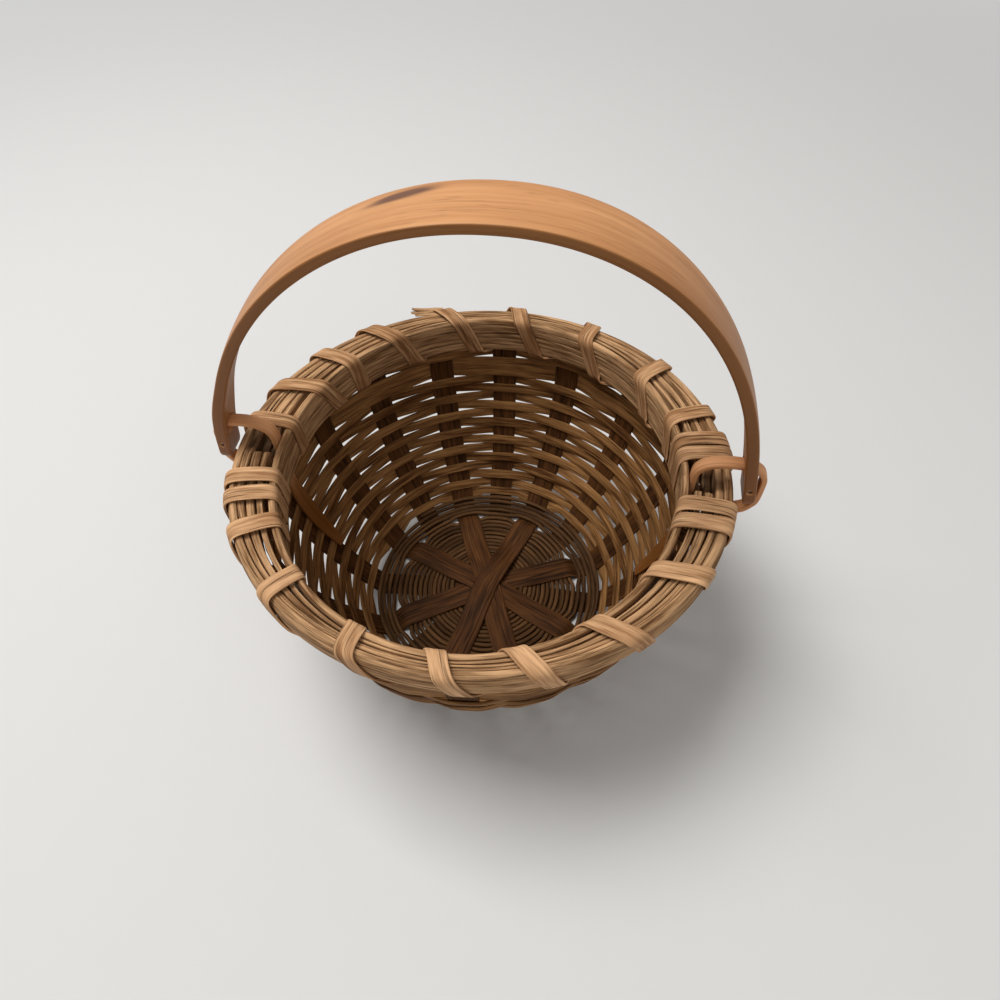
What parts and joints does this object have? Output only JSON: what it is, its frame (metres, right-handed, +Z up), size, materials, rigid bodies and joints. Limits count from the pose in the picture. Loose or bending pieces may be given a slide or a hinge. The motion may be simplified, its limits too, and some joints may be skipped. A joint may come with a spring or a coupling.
{
  "type": "woven wood basket",
  "caption": "Round splint basket, flared from a small round base to a lashed hoop rim, with a bentwood bow handle that swings on bentwood ears.",
  "frame": {"origin": "on the ground at the middle of the base, under the middle of the rim", "axes": "+Z up; +X from the left ear to the right ear, seen from the front; -Y to the front"},
  "size_m": [0.2572, 0.222, 0.2451],
  "materials": {
    "spoke_splint": "dry aged splint",
    "weaver_splint": "dry aged splint",
    "round_reed": "dry aged reed",
    "rim_wood": "dry, weathered",
    "lashing_splint": "dry, fibrous",
    "ear_wood": "smooth bentwood, satin",
    "handle_wood": "smooth bentwood, satin",
    "peg_wood": "dark, dull"
  },
  "bodies": {
    "basket": {"lower_spoke_1": "spoke_splint", "lower_spoke_2": "spoke_splint", "lower_spoke_3": "spoke_splint", "lower_spoke_4": "spoke_splint", "upper_spoke_1": "spoke_splint", "upper_spoke_2": "spoke_splint", "upper_spoke_3": "spoke_splint", "upper_spoke_4": "spoke_splint", "base_reed": "round_reed", "weaver_01": "weaver_splint", "weaver_02": "weaver_splint", "weaver_03": "weaver_splint", "weaver_04": "weaver_splint", "weaver_05": "weaver_splint", "weaver_06": "weaver_splint", "weaver_07": "weaver_splint", "weaver_08": "weaver_splint", "weaver_09": "weaver_splint", "weaver_10": "weaver_splint", "weaver_11": "weaver_splint", "weaver_12": "weaver_splint", "weaver_13": "weaver_splint", "weaver_14": "weaver_splint", "wide_weaver": "weaver_splint", "weaver_16": "weaver_splint", "inner_rim_hoop": "rim_wood", "outer_rim_hoop": "rim_wood", "inner_rim_filler": "rim_wood", "middle_rim_filler": "rim_wood", "outer_rim_filler": "rim_wood", "back_rim_lashing": "lashing_splint", "front_rim_lashing": "lashing_splint", "left_ear": "ear_wood", "right_ear": "ear_wood"},
    "handle": {"swing_handle": "handle_wood", "left_leg_peg": "peg_wood", "right_leg_peg": "peg_wood"}
  },
  "joints": [
    {"name": "handle_swing", "type": "hinge", "parent": "basket", "child": "handle", "pos_m": [0, 0, 0.1279], "axis": [1, 0, 0], "range_deg": [-85, 85]}
  ]
}
